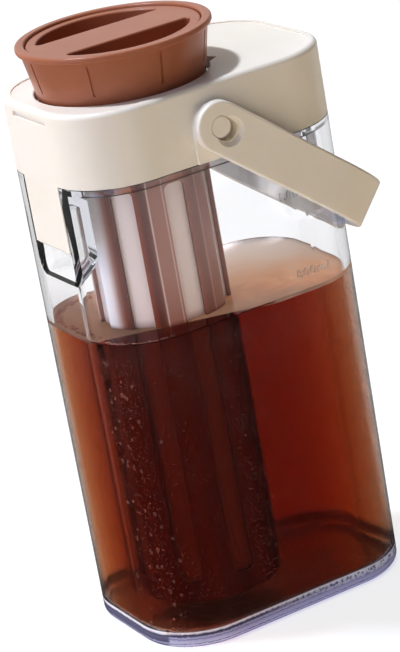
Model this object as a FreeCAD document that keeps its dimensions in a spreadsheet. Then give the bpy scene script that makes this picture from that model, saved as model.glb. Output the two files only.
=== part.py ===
import FreeCAD, Part
import math
import os
import Sketcher

# Cold brew coffee maker: a clear rectangular jug, a lid with two latch tongues, a bail handle on
# two pins, and a brown filter that hangs in the lid and is closed by a grip cap.
# Millimetres. Origin: centre of the jug's flat base. +X along the jug's long side, -Y its front.

doc = FreeCAD.newDocument("cold_brew_maker")
dim = doc.addObject("Spreadsheet::Sheet", "dim")

SIZES = [
    # jug
    ("body_length", 105.3, "outside length of jug and lid"),
    ("body_depth", 74.8, "outside depth of jug and lid"),
    ("body_corner", 24.8, "outside corner radius in plan"),
    ("body_draft", 0.25, "how much smaller the foot is on each side"),
    ("shoulder_height", 173.3, "top of the full-width wall"),
    ("neck_rise", 21.3, "height of the neck inside the lid"),
    ("neck_inset", 3.0, "neck outside, in from the jug outside"),
    ("neck_wall", 2.2, "neck wall"),
    ("wall", 2.9, "jug wall"),
    ("floor", 3.6, "jug floor"),
    ("foot_round", 3.0, "outside round of the foot"),
    ("floor_round", 4.0, "inside round of the floor"),
    # finger recess at each end
    ("recess_width", 26.6, "width of the finger recess"),
    ("recess_depth", 6.6, "depth of the finger recess"),
    ("ledge_drop", 8.3, "underside of the catch ledge, below the shoulder"),
    ("recess_height", 28.0, "catch ledge to the recess floor at its mouth"),
    ("recess_rise", 6.0, "rise of the recess floor to its back"),
    ("recess_wall", 2.4, "wall round the recess"),
    ("recess_corner", 4.0, "round of the recess's lower corners"),
    # lid
    ("lid_gap", 0.3, "gap between jug shoulder and lid skirt"),
    ("lid_rise", 26.7, "top of the lid above the jug's shoulder"),
    ("lid_wall", 2.4, "lid skirt wall"),
    ("lid_top", 2.6, "thickness of the lid's top"),
    ("lid_round", 1.8, "round of the lid's top edge"),
    ("dish_inset", 3.0, "flat of the lid's top, in from its outside"),
    ("dish_depth", 0.4, "that flat below the edge round it"),
    ("tongue_length", 25.6, "latch tongue below the lid's skirt"),
    ("tongue_side", 0.8, "latch tongue in from the recess's side walls"),
    ("tongue_gap", 0.5, "latch tongue to the wall behind it"),
    ("tongue_chamfer", 1.4, "chamfer of the tongue's lower end"),
    ("vent_width", 24.0, "width of the slot over each tongue"),
    ("vent_height", 2.0, "height of that slot"),
    ("vent_drop", 3.0, "upper edge of that slot, below the lid's top"),
    ("vent_depth", 1.0, "depth of that slot"),
    ("hole_gap", 2.2, "hole in the lid's top, outside the liner's throat"),
    ("hole_round", 0.8, "round of that hole's upper edge"),
    ("notch_reach", 3.8, "index notch beyond the hole"),
    ("notch_angle", -16.3, "direction of the index notch"),
    ("notch_half", 4.5, "half width of the index notch at the hole"),
    # liner and seals
    ("liner_gap", 0.25, "liner plate inside the skirt"),
    ("liner_plate", 2.2, "liner plate thickness"),
    ("plug_gap", 0.8, "liner plug inside the neck"),
    ("plug_wall", 2.0, "liner plug wall"),
    ("plug_length", 19.0, "liner plug's foot below the lid's top"),
    ("seal_lift", 3.0, "lid seal's groove above the plug's foot"),
    ("seal_height", 3.0, "height of the lid seal's groove"),
    ("seal_groove", 0.8, "depth of the lid seal's groove"),
    ("seal_gap", 0.3, "lid seal inside the neck"),
    ("seat_gap", 0.05, "a seal in its groove"),
    ("throat_wall", 1.5, "wall of the throat that holds the filter"),
    ("throat_merge", 0.5, "throat wall run into the plug's long sides"),
    ("end_margin", 7.5, "throat wall in from the jug's left end"),
    # handle
    ("pivot_x", -2.8, "handle pivot, from the jug's centre"),
    ("pivot_drop", 14.5, "handle pivot below the lid's top"),
    ("boss_radius", 8.2, "raised pad under the handle's eye"),
    ("boss_height", 0.9, "height of that pad"),
    ("handle_gap", 0.35, "pad to handle"),
    ("handle_thick", 4.2, "handle strap thickness"),
    ("handle_width", 17.8, "handle strap width"),
    ("handle_angle", 39.0, "handle below level at rest"),
    ("handle_rest_gap", 0.5, "handle to jug end at rest"),
    ("handle_round", 0.9, "round of the strap's edges"),
    ("pin_radius", 3.7, "pivot pin head"),
    ("pin_gap", 0.2, "pin in the handle's eye"),
    ("pin_bevel", 0.3, "bevel of the pin's face"),
    ("pin_shoulder", 1.3, "pin head wider than its spigot, on the radius"),
    ("spigot_gap", 0.05, "spigot in its hole"),
    ("slot_travel", 3.3, "length that the eye runs on past the pin"),
    ("sink_flare", 1.5, "countersink wider than the slot, on the radius"),
    ("sink_depth", 1.5, "depth of the countersink"),
    ("sink_offset", 0.7, "countersink past the slot's end centre"),
    # filter collar
    ("collar_gap", 0.4, "collar neck in the throat"),
    ("collar_wall", 2.1, "collar neck wall"),
    ("collar_length", 24.0, "collar's foot below the lid's top"),
    ("collar_floor", 4.0, "thickness of the collar's floor ring"),
    ("seat_lift", 0.3, "collar seat over the liner"),
    ("seat_width", 1.0, "collar seat beyond the throat"),
    ("rim_rise", 17.3, "collar's rim above the lid's top"),
    ("cone_flare", 3.4, "cone wider under the lip than at its seat, on the radius"),
    ("rim_overhang", 1.5, "rim beyond the cone"),
    ("rim_lip", 2.3, "height of the rim's lip"),
    ("rim_round", 0.8, "round of the rim's top edges"),
    ("rim_wall", 3.4, "rim's wall round the grip cap"),
    ("ledge_width", 2.2, "cap ledge inside the rim's bore"),
    ("funnel_run", 4.6, "height of the taper under the cap"),
    ("grip_count", 8, "grip lines round the cone"),
    ("grip_width", 0.9, "width of a grip line"),
    ("grip_depth", 0.45, "depth of a grip line"),
    ("grip_lift", 4.8, "grip lines above the seat"),
    ("grip_drop", 1.2, "grip lines below the lip"),
    ("ring_lift", 10.0, "collar seal's groove above the collar's foot"),
    ("ring_height", 3.0, "height of the collar seal's groove"),
    ("ring_groove", 1.0, "depth of the collar seal's groove"),
    ("ring_gap", 0.2, "collar seal in the throat"),
    # filter cage
    ("flange_gap", 0.4, "cage flange in the collar"),
    ("flange_width", 1.5, "cage flange beyond the ribs"),
    ("flange_thick", 1.6, "thickness of that flange"),
    ("neck_step", 0.6, "cage's neck inside its ribs"),
    ("neck_blend", 2.5, "height of the step from ribs to neck"),
    ("cage_wall", 1.6, "thickness of the cage's ribs"),
    ("cage_gap", 0.2, "cage in the collar's floor ring"),
    ("cage_lift", 6.4, "cage above the jug's floor"),
    ("cage_floor", 2.0, "thickness of the cage's floor"),
    ("cage_round", 2.0, "round of the cage's lower edge"),
    ("window_count", 8, "windows round the cage"),
    ("window_width", 8.0, "width of a window"),
    ("window_lift", 9.0, "lower end of a window above the cage's foot"),
    ("window_drop", 9.7, "upper end of a window below the collar's foot"),
    ("window_corner", 2.4, "corner radius of a window"),
    ("mesh_gap", 0.1, "mesh sleeve inside the cage"),
    ("mesh_thick", 0.4, "mesh sleeve"),
    ("mesh_overlap", 4.0, "mesh above and below the windows"),
    # grip cap
    ("cap_drop", 0.8, "cap's face below the rim"),
    ("cap_gap", 0.3, "cap in its bore"),
    ("cap_flange", 7.2, "height of the cap's flange"),
    ("cap_depth", 13.6, "height of the whole cap"),
    ("cap_skin", 1.6, "cap wall and floor"),
    ("cap_round", 0.7, "round of the cap's edges"),
    ("cup_gap", 0.5, "cap's cup inside the ledge"),
    ("cup_lift", 0.6, "cap's foot above the taper"),
    ("grip_bar", 21.0, "width of the bar that is gripped"),
    ("pocket_wall", 1.4, "cup wall outside the two pockets beside the bar"),
    ("pocket_round", 1.5, "round of the pockets' upright corners"),
    ("cap_seal", 1.1, "thickness of the cap's seal"),
    ("cap_seal_gap", 0.2, "cap seal from ledge, cap and bore"),
]

for row, (alias, size, note) in enumerate(SIZES, start=1):
    dim.set(f"A{row}", note)
    dim.set(f"B{row}", str(size))
    dim.setAlias(f"B{row}", alias)
doc.recompute()

# Sizes that several pieces share, as expressions on the sheet.
HALF_X = "dim.body_length / 2"
HALF_Y = "dim.body_depth / 2"
LID_FOOT = "(dim.shoulder_height + dim.lid_gap)"
LID_HEIGHT = "(dim.shoulder_height + dim.lid_rise)"
LID_INSIDE = f"({LID_HEIGHT} - dim.lid_top)"
CAVITY_TOP = "(dim.shoulder_height - dim.wall)"
RECESS_BACK = f"({HALF_X} - dim.recess_depth)"
NECK_INSIDE = "(dim.neck_inset + dim.neck_wall)"
PLUG_INSET = f"({NECK_INSIDE} + dim.plug_gap)"
PLUG_FOOT = f"({LID_HEIGHT} - dim.plug_length)"
SEAL_FOOT = f"({PLUG_FOOT} + dim.seal_lift)"
THROAT_OUTSIDE = f"({HALF_Y} - {PLUG_INSET} - dim.plug_wall + dim.throat_merge)"
THROAT_RADIUS = f"({THROAT_OUTSIDE} - dim.throat_wall)"
FILTER_X = f"(dim.end_margin + {THROAT_OUTSIDE} - {HALF_X})"
PIVOT_HEIGHT = f"({LID_HEIGHT} - dim.pivot_drop)"
BOSS_FACE = f"({HALF_Y} + dim.boss_height)"
STRAP_INSIDE = f"({BOSS_FACE} + dim.handle_gap)"
STRAP_OUTSIDE = f"({STRAP_INSIDE} + dim.handle_thick)"
SPIGOT_RADIUS = "(dim.pin_radius - dim.pin_shoulder)"
SLOT_RADIUS = "(dim.pin_radius + dim.pin_gap)"
COLLAR_NECK = f"({THROAT_RADIUS} - dim.collar_gap)"
COLLAR_BORE = f"({COLLAR_NECK} - dim.collar_wall)"
COLLAR_FOOT = f"({LID_HEIGHT} - dim.collar_length)"
COLLAR_SEAT = f"({LID_INSIDE} + dim.seat_lift)"
COLLAR_RING = f"({COLLAR_FOOT} + dim.collar_floor)"
CONE_FOOT = f"({THROAT_RADIUS} + dim.seat_width)"
CONE_TOP = f"({CONE_FOOT} + dim.cone_flare)"
RIM_RADIUS = f"({CONE_TOP} + dim.rim_overhang)"
RIM_HEIGHT = f"({LID_HEIGHT} + dim.rim_rise)"
RIM_LIP = f"({RIM_HEIGHT} - dim.rim_lip)"
RING_FOOT = f"({COLLAR_FOOT} + dim.ring_lift)"
CAP_BORE = f"({RIM_RADIUS} - dim.rim_wall)"
CAP_RADIUS = f"({CAP_BORE} - dim.cap_gap)"
CAP_TOP = f"({RIM_HEIGHT} - dim.cap_drop)"
CAP_UNDER = f"({CAP_TOP} - dim.cap_flange)"
CAP_FOOT = f"({CAP_TOP} - dim.cap_depth)"
LEDGE = f"({CAP_UNDER} - dim.cap_seal - 2 * dim.cap_seal_gap)"
LEDGE_RADIUS = f"({CAP_BORE} - dim.ledge_width)"
CAP_CUP = f"({LEDGE_RADIUS} - dim.cup_gap)"
TAPER_TOP = f"({CAP_FOOT} - dim.cup_lift)"
CAGE_FLANGE = f"({COLLAR_BORE} - dim.flange_gap)"
CAGE_RADIUS = f"({CAGE_FLANGE} - dim.flange_width)"
CAGE_NECK = f"({CAGE_RADIUS} - dim.neck_step)"
CAGE_BORE = f"({CAGE_RADIUS} - dim.cage_wall)"
CAGE_FOOT = "(dim.floor + dim.cage_lift)"
WINDOW_FOOT = f"({CAGE_FOOT} + dim.window_lift)"
WINDOW_TOP = f"({COLLAR_FOOT} - dim.window_drop)"
THROUGH = "4 * dim.body_length"
SHARP = (None, None, None, None)
TINY = 1e-4


def value(expression):
    """The number an expression on the sheet comes to."""
    return float(dim.evalExpression(str(expression)))


# ---------------------------------------------------------------- bodies, sketches and features

def new_body(label):
    body = doc.addObject("PartDesign::Body", label)
    body.Label = label
    return body


def origin_plane(body, role):
    return next(item for item in body.Origin.OriginFeatures if item.Role == role)


def new_sketch(body, name, role="XY_Plane", height=None):
    """A sketch on one of the body's own planes, moved along that plane's normal by height."""
    sketch = body.newObject("Sketcher::SketchObject", f"{body.Name}_{name}")
    sketch.AttachmentSupport = [(origin_plane(body, role), "")]
    sketch.MapMode = "FlatFace"
    if height is not None:
        sketch.setExpression("AttachmentOffset.Base.z", height)
    return sketch


def bind(sketch, kind, *arguments):
    """Adds a sized constraint; the last argument is its expression."""
    *places, expression = arguments
    index = sketch.addConstraint(Sketcher.Constraint(kind, *places, value(expression)))
    name = f"size_{index}"
    sketch.renameConstraint(index, name)
    sketch.setExpression(f"Constraints.{name}", str(expression))


def fix_point(sketch, geometry, point, x, y):
    """Ties a point to the sketch's origin; "0" puts it on the axis itself."""
    if x == "0":
        sketch.addConstraint(Sketcher.Constraint("PointOnObject", geometry, point, -2))
    else:
        bind(sketch, "DistanceX", -1, 1, geometry, point, x)
    if y == "0":
        sketch.addConstraint(Sketcher.Constraint("PointOnObject", geometry, point, -1))
    else:
        bind(sketch, "DistanceY", -1, 1, geometry, point, y)


def line(sketch, start, end):
    return sketch.addGeometry(Part.LineSegment(FreeCAD.Vector(*start, 0), FreeCAD.Vector(*end, 0)))


def arc(sketch, centre, radius, start, end):
    circle = Part.Circle(FreeCAD.Vector(*centre, 0), FreeCAD.Vector(0, 0, 1), radius)
    return sketch.addGeometry(Part.ArcOfCircle(circle, math.radians(start), math.radians(end)))


def draw_polygon(sketch, points):
    """A closed outline of straight lines through points, each (x, y) an expression."""
    places = [(value(x), value(y)) for x, y in points]
    edges = [line(sketch, places[i], places[(i + 1) % len(places)]) for i in range(len(places))]
    for i, edge in enumerate(edges):
        following = edges[(i + 1) % len(edges)]
        sketch.addConstraint(Sketcher.Constraint("Coincident", edge, 2, following, 1))
        fix_point(sketch, edge, 1, *points[i])


def draw_circle(sketch, radius, x="0", y="0"):
    centre = FreeCAD.Vector(value(x), value(y), 0)
    circle = sketch.addGeometry(Part.Circle(centre, FreeCAD.Vector(0, 0, 1), value(radius)))
    fix_point(sketch, circle, 3, x, y)
    bind(sketch, "Radius", circle, radius)


def draw_box(sketch, x, y, rounds):
    """A rectangle from x[0], y[0] to x[1], y[1]; rounds gives the radius of its corners, or None
    for a sharp one, anticlockwise from the corner at x[1], y[1]."""
    low_x, high_x, low_y, high_y = (value(side) for side in (*x, *y))
    corners = [(high_x, high_y, -1, -1), (low_x, high_y, 1, -1),
               (low_x, low_y, 1, 1), (high_x, low_y, -1, 1)]
    radii = [value(size) if size else 0.0 for size in rounds]
    sides = []
    for i in range(4):
        cx, cy, ix, iy = corners[i]
        nx, ny, jx, jy = corners[(i + 1) % 4]
        r, q = radii[i], radii[(i + 1) % 4]
        level = i % 2 == 0
        start = (cx + ix * r, cy) if level else (cx, cy + iy * r)
        end = (nx + jx * q, ny) if level else (nx, ny + jy * q)
        sides.append(line(sketch, start, end))
        sketch.addConstraint(Sketcher.Constraint("Horizontal" if level else "Vertical", sides[i]))
    bind(sketch, "DistanceY", -1, 1, sides[0], 1, y[1])
    bind(sketch, "DistanceX", -1, 1, sides[1], 1, x[0])
    bind(sketch, "DistanceY", -1, 1, sides[2], 1, y[0])
    bind(sketch, "DistanceX", -1, 1, sides[3], 1, x[1])
    first = {}
    for i in range(4):
        before, after = sides[i - 1], sides[i]
        if not rounds[i]:
            sketch.addConstraint(Sketcher.Constraint("Coincident", before, 2, after, 1))
            continue
        cx, cy, ix, iy = corners[i]
        centre = (cx + ix * radii[i], cy + iy * radii[i])
        bend = arc(sketch, centre, radii[i], 90 * i, 90 * i + 90)
        sketch.addConstraint(Sketcher.Constraint("Tangent", before, 2, bend, 1))
        sketch.addConstraint(Sketcher.Constraint("Tangent", bend, 2, after, 1))
        if rounds[i] in first:
            sketch.addConstraint(Sketcher.Constraint("Equal", first[rounds[i]], bend))
        else:
            first[rounds[i]] = bend
            bind(sketch, "Radius", bend, rounds[i])


def draw_outline(sketch, inset="0"):
    """The jug's rounded rectangle, drawn in from its outside by inset."""
    x, y, r = f"{HALF_X} - ({inset})", f"{HALF_Y} - ({inset})", f"dim.body_corner - ({inset})"
    draw_box(sketch, (f"-({x})", x), (f"-({y})", y), (r, r, r, r))


def draw_slot(sketch, radius, length):
    """A slot along x whose first round end is centred on the origin."""
    r, far = value(radius), value(length)
    near_end = arc(sketch, (0, 0), r, 90, 270)
    below = line(sketch, (0, -r), (far, -r))
    far_end = arc(sketch, (far, 0), r, -90, 90)
    above = line(sketch, (far, r), (0, r))
    chain = [near_end, below, far_end, above]
    for i in range(4):
        sketch.addConstraint(Sketcher.Constraint("Tangent", chain[i], 2, chain[(i + 1) % 4], 1))
    sketch.addConstraint(Sketcher.Constraint("Coincident", near_end, 3, -1, 1))
    sketch.addConstraint(Sketcher.Constraint("PointOnObject", far_end, 3, -1))
    bind(sketch, "DistanceX", -1, 1, far_end, 3, length)
    bind(sketch, "Radius", near_end, radius)


def draw_arch(sketch, x, y, radius, foot):
    """A round head centred on x, y, with straight sides down to foot."""
    cx, cy, r, low = value(x), value(y), value(radius), value(foot)
    head = arc(sketch, (cx, cy), r, 0, 180)
    left = line(sketch, (cx - r, cy), (cx - r, low))
    base = line(sketch, (cx - r, low), (cx + r, low))
    right = line(sketch, (cx + r, low), (cx + r, cy))
    sketch.addConstraint(Sketcher.Constraint("Tangent", head, 2, left, 1))
    sketch.addConstraint(Sketcher.Constraint("Coincident", left, 2, base, 1))
    sketch.addConstraint(Sketcher.Constraint("Coincident", base, 2, right, 1))
    sketch.addConstraint(Sketcher.Constraint("Tangent", right, 2, head, 1))
    sketch.addConstraint(Sketcher.Constraint("Vertical", left))
    sketch.addConstraint(Sketcher.Constraint("Horizontal", base))
    fix_point(sketch, head, 3, x, y)
    bind(sketch, "Radius", head, radius)
    bind(sketch, "DistanceY", -1, 1, base, 1, foot)


def draw_pocket(sketch, radius, half_bar, corner, side):
    """The D beside a bar: an arc about the origin and a chord at half_bar, with round corners."""
    big, chord, r = value(radius), value(half_bar), value(corner)
    reach = math.sqrt((big - r) ** 2 - (chord + r) ** 2)
    turn = math.degrees(math.atan2(chord + r, reach))
    if side > 0:
        edge = line(sketch, (-reach, chord), (reach, chord))
        right = arc(sketch, (reach, chord + r), r, -90, turn)
        bow = arc(sketch, (0, 0), big, turn, 180 - turn)
        left = arc(sketch, (-reach, chord + r), r, 180 - turn, 270)
        chain = [edge, right, bow, left]
    else:
        edge = line(sketch, (reach, -chord), (-reach, -chord))
        left = arc(sketch, (-reach, -chord - r), r, 90, 180 + turn)
        bow = arc(sketch, (0, 0), big, 180 + turn, 360 - turn)
        right = arc(sketch, (reach, -chord - r), r, -turn, 90)
        chain = [edge, left, bow, right]
    for i in range(4):
        sketch.addConstraint(Sketcher.Constraint("Tangent", chain[i], 2, chain[(i + 1) % 4], 1))
    sketch.addConstraint(Sketcher.Constraint("Horizontal", edge))
    sketch.addConstraint(Sketcher.Constraint("Coincident", bow, 3, -1, 1))
    sketch.addConstraint(Sketcher.Constraint("Equal", right, left))
    bind(sketch, "Radius", bow, radius)
    bind(sketch, "Radius", right, corner)
    bind(sketch, "DistanceY", -1, 1, edge, 1, half_bar if side > 0 else f"-({half_bar})")


def finish(body, feature):
    body.Tip = feature
    doc.recompute()
    return feature


def pad(body, sketch, length, symmetric=False):
    feature = body.newObject("PartDesign::Pad", f"{sketch.Name}_pad")
    feature.Profile = sketch
    feature.SideType = "Symmetric" if symmetric else "One side"
    feature.setExpression("Length", length)
    return finish(body, feature)


def pocket(body, sketch, length, symmetric=False, forward=False):
    """Cuts against the sketch's normal, or along it where forward is set."""
    before = body.Shape.Volume
    feature = body.newObject("PartDesign::Pocket", f"{sketch.Name}_pocket")
    feature.Profile = sketch
    feature.SideType = "Symmetric" if symmetric else "One side"
    feature.Reversed = forward
    feature.setExpression("Length", length)
    finish(body, feature)
    if not feature.Shape.Volume < before:
        raise RuntimeError(f"{feature.Name} cuts nothing")
    return feature


def revolve(body, name, points, role="XZ_Plane"):
    """Turns an outline of (radius, height) points about the sketch's upright axis."""
    sketch = new_sketch(body, name, role)
    draw_polygon(sketch, points)
    doc.recompute()
    feature = body.newObject("PartDesign::Revolution", f"{sketch.Name}_turned")
    feature.Profile = sketch
    feature.ReferenceAxis = (sketch, ["V_Axis"])
    feature.Angle = 360
    return finish(body, feature)


def mirror(body, features, role):
    feature = body.newObject("PartDesign::Mirrored", f"{features[0].Name}_mirrored")
    feature.Originals = features
    feature.MirrorPlane = (origin_plane(body, role), [""])
    return finish(body, feature)


def repeat_round(body, cut, count):
    feature = body.newObject("PartDesign::PolarPattern", f"{cut.Name}_repeated")
    feature.Originals = [cut]
    feature.Axis = (origin_plane(body, "Z_Axis"), [""])
    feature.Angle = 360
    feature.setExpression("Occurrences", count)
    return finish(body, feature)


def round_edges(body, base, radius, wanted, chamfer=False):
    """Rounds, or chamfers, every edge of base that wanted() picks."""
    names = [f"Edge{i}" for i, edge in enumerate(base.Shape.Edges, start=1) if wanted(edge)]
    if not names:
        raise RuntimeError(f"no edge of {base.Name} to round")
    kind = "Chamfer" if chamfer else "Fillet"
    feature = body.newObject(f"PartDesign::{kind}", f"{base.Name}_{kind.lower()}")
    feature.Base = (base, names)
    feature.setExpression("Size" if chamfer else "Radius", radius)
    return finish(body, feature)


def edge_points(edge, count=5):
    first, last = edge.FirstParameter, edge.LastParameter
    return [edge.valueAt(first + (last - first) * i / (count - 1)) for i in range(count)]


def level_at(height):
    """Picks edges that lie flat at one height."""
    return lambda edge: all(abs(p.z - value(height)) < TINY for p in edge_points(edge))


def circle_at(radius, height, x="0"):
    """Picks circles about an upright axis through x, of one radius at one height."""
    r, z, centre = value(radius), value(height), value(x)
    return lambda edge: all(abs(math.hypot(p.x - centre, p.y) - r) < TINY and abs(p.z - z) < TINY
                            for p in edge_points(edge))


def put_on_filter_axis(body):
    body.setExpression("Placement.Base.x", FILTER_X)


# ---------------------------------------------------------------- jug

def make_container():
    body = new_body("container")
    foot = new_sketch(body, "foot")
    draw_outline(foot, "dim.body_draft")
    shoulder = new_sketch(body, "shoulder", height="dim.shoulder_height")
    draw_outline(shoulder)
    doc.recompute()
    wall = body.newObject("PartDesign::AdditiveLoft", "container_wall")
    wall.Profile = foot
    wall.Sections = [shoulder]
    wall.Ruled = True
    finish(body, wall)
    neck = new_sketch(body, "neck", height="dim.shoulder_height")
    draw_outline(neck, "dim.neck_inset")
    pad(body, neck, "dim.neck_rise")
    round_edges(body, body.Tip, "dim.foot_round", level_at("0"))

    mouth = new_sketch(body, "mouth", height="dim.shoulder_height + dim.neck_rise")
    draw_outline(mouth, NECK_INSIDE)
    pocket(body, mouth, "dim.neck_rise + dim.wall")
    cavity = new_sketch(body, "cavity", height=CAVITY_TOP)
    draw_outline(cavity, "dim.wall")
    pocket(body, cavity, f"{CAVITY_TOP} - dim.floor")
    round_edges(body, body.Tip, "dim.floor_round", level_at("dim.floor"))

    # The finger recess behind each latch tongue: a solid block inside the end wall, hollowed
    # from outside. The block stays whole above the recess, as the ledge that the tongue clips by.
    slope = "(dim.recess_rise / dim.recess_depth)"
    ledge = "(dim.shoulder_height - dim.ledge_drop)"
    block_back = f"{RECESS_BACK} - dim.recess_wall"
    block_face = f"{HALF_X} - dim.wall / 2"
    block_drop = f"dim.recess_wall * sqrt(1 + {slope} ^ 2)"
    floor_at = f"{ledge} - dim.recess_height + {slope} * {HALF_X} - {slope} * "
    block = new_sketch(body, "recess_block", "XZ_Plane")
    draw_polygon(block, [
        (block_face, f"{floor_at} ({block_face}) - {block_drop}"),
        (block_back, f"{floor_at} ({block_back}) - {block_drop}"),
        (block_back, f"{CAVITY_TOP} + dim.wall / 2"),
        (block_face, f"{CAVITY_TOP} + dim.wall / 2"),
    ])
    block_pad = pad(body, block, "dim.recess_width + 2 * dim.recess_wall", symmetric=True)
    block_pair = mirror(body, [block_pad], "YZ_Plane")
    block_x = value(block_back)
    lower_z = value(f"{floor_at} ({block_back}) - {block_drop}")

    def block_corner(edge):
        """The block's two lower edges that run in from the end wall."""
        ends = edge_points(edge)
        side = value("dim.recess_width / 2 + dim.recess_wall")
        return (all(abs(abs(p.y) - side) < TINY and p.z < lower_z + TINY for p in ends)
                and max(abs(p.x) for p in ends) - min(abs(p.x) for p in ends) > 1
                and min(abs(p.x) for p in ends) > block_x - TINY)
    rounded = round_edges(body, block_pair, "dim.recess_corner + dim.recess_wall / 2", block_corner)

    clear = f"{HALF_X} + dim.recess_depth"
    recess = new_sketch(body, "recess", "XZ_Plane")
    draw_polygon(recess, [
        (clear, f"{floor_at} ({clear})"),
        (RECESS_BACK, f"{floor_at} ({RECESS_BACK})"),
        (RECESS_BACK, ledge),
        (clear, ledge),
    ])
    recess_cut = pocket(body, recess, "dim.recess_width", symmetric=True)
    recess_pair = mirror(body, [recess_cut], "YZ_Plane")

    def recess_corner(edge):
        """The recess's two lower edges that run in from its mouth."""
        ends = edge_points(edge)
        side = value("dim.recess_width / 2")
        back = value(RECESS_BACK)
        top = value(f"{floor_at} ({RECESS_BACK})") + TINY
        return (all(abs(abs(p.y) - side) < TINY and p.z < top for p in ends)
                and max(abs(p.x) for p in ends) - min(abs(p.x) for p in ends) > 1
                and min(abs(p.x) for p in ends) > back - TINY)
    round_edges(body, recess_pair, "dim.recess_corner", recess_corner)

    # Above the ledge the tongue lies in a shallow relief, flush with the wall.
    relief = new_sketch(body, "relief", "XZ_Plane")
    relief_face = f"{HALF_X} - dim.lid_wall - dim.tongue_gap"
    draw_polygon(relief, [
        (clear, f"{ledge} - dim.recess_wall"),
        (relief_face, f"{ledge} - dim.recess_wall"),
        (relief_face, LID_FOOT),
        (clear, LID_FOOT),
    ])
    relief_cut = pocket(body, relief, "dim.recess_width", symmetric=True)
    mirror(body, [relief_cut], "YZ_Plane")
    return body


# ---------------------------------------------------------------- lid

def make_lid_shell():
    body = new_body("lid_shell")
    skirt = new_sketch(body, "skirt", height=LID_FOOT)
    draw_outline(skirt)
    pad(body, skirt, f"{LID_HEIGHT} - {LID_FOOT}")
    round_edges(body, body.Tip, "dim.lid_round", level_at(LID_HEIGHT))
    inside = new_sketch(body, "inside", height=LID_FOOT)
    draw_outline(inside, "dim.lid_wall")
    pocket(body, inside, f"{LID_INSIDE} - {LID_FOOT}", forward=True)

    dish = new_sketch(body, "dish", height=LID_HEIGHT)
    draw_outline(dish, "dim.dish_inset")
    pocket(body, dish, "dim.dish_depth")
    hole = new_sketch(body, "hole", height=LID_HEIGHT)
    hole_radius = f"({THROAT_RADIUS} + dim.hole_gap)"
    draw_circle(hole, hole_radius, x=FILTER_X)
    cut = pocket(body, hole, "2 * dim.lid_top")
    round_edges(body, cut, "dim.hole_round",
                circle_at(hole_radius, f"{LID_HEIGHT} - dim.dish_depth", x=FILTER_X))
    # The index notch is a wedge whose two feet lie on the hole's edge.
    notch = new_sketch(body, "notch", height=LID_HEIGHT)
    ahead, across = "cos(dim.notch_angle)", "sin(dim.notch_angle)"
    root = f"sqrt({hole_radius} ^ 2 - dim.notch_half ^ 2)"
    tip = f"({hole_radius} + dim.notch_reach)"
    draw_polygon(notch, [
        (f"{FILTER_X} + {root} * {ahead} + dim.notch_half * {across}",
         f"{root} * {across} - dim.notch_half * {ahead}"),
        (f"{FILTER_X} + {tip} * {ahead}", f"{tip} * {across}"),
        (f"{FILTER_X} + {root} * {ahead} - dim.notch_half * {across}",
         f"{root} * {across} + dim.notch_half * {ahead}"),
    ])
    pocket(body, notch, "2 * dim.lid_top")

    # A latch tongue hangs from the skirt at each end, flush with it.
    tongue = new_sketch(body, "tongue", "XZ_Plane")
    tongue_inside = f"{HALF_X} - dim.lid_wall"
    tongue_foot = f"({LID_FOOT} - dim.tongue_length)"
    draw_polygon(tongue, [
        (HALF_X, f"{tongue_foot} + dim.tongue_chamfer"),
        (HALF_X, f"{LID_FOOT} + dim.lid_wall"),
        (tongue_inside, f"{LID_FOOT} + dim.lid_wall"),
        (tongue_inside, tongue_foot),
        (f"{HALF_X} - dim.tongue_chamfer", tongue_foot),
    ])
    tongue_pad = pad(body, tongue, "dim.recess_width - 2 * dim.tongue_side", symmetric=True)
    mirror(body, [tongue_pad], "YZ_Plane")
    vent = new_sketch(body, "vent", "YZ_Plane", height=HALF_X)
    vent_top = f"{LID_HEIGHT} - dim.vent_drop"
    draw_box(vent, ("-dim.vent_width / 2", "dim.vent_width / 2"),
             (f"{vent_top} - dim.vent_height", vent_top), SHARP)
    vent_cut = pocket(body, vent, "dim.vent_depth")
    mirror(body, [vent_cut], "YZ_Plane")

    # A raised pad under each eye of the handle, with the hole for its pin.
    boss = new_sketch(body, "boss", "XZ_Plane", height=f"{HALF_Y} - dim.lid_wall / 2")
    draw_arch(boss, "dim.pivot_x", PIVOT_HEIGHT, "dim.boss_radius", LID_FOOT)
    boss_pad = pad(body, boss, "dim.boss_height + dim.lid_wall / 2")
    mirror(body, [boss_pad], "XZ_Plane")
    bore = new_sketch(body, "pin_bore", "XZ_Plane")
    draw_circle(bore, f"{SPIGOT_RADIUS} + dim.spigot_gap", "dim.pivot_x", PIVOT_HEIGHT)
    pocket(body, bore, THROUGH, symmetric=True)
    return body


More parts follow.
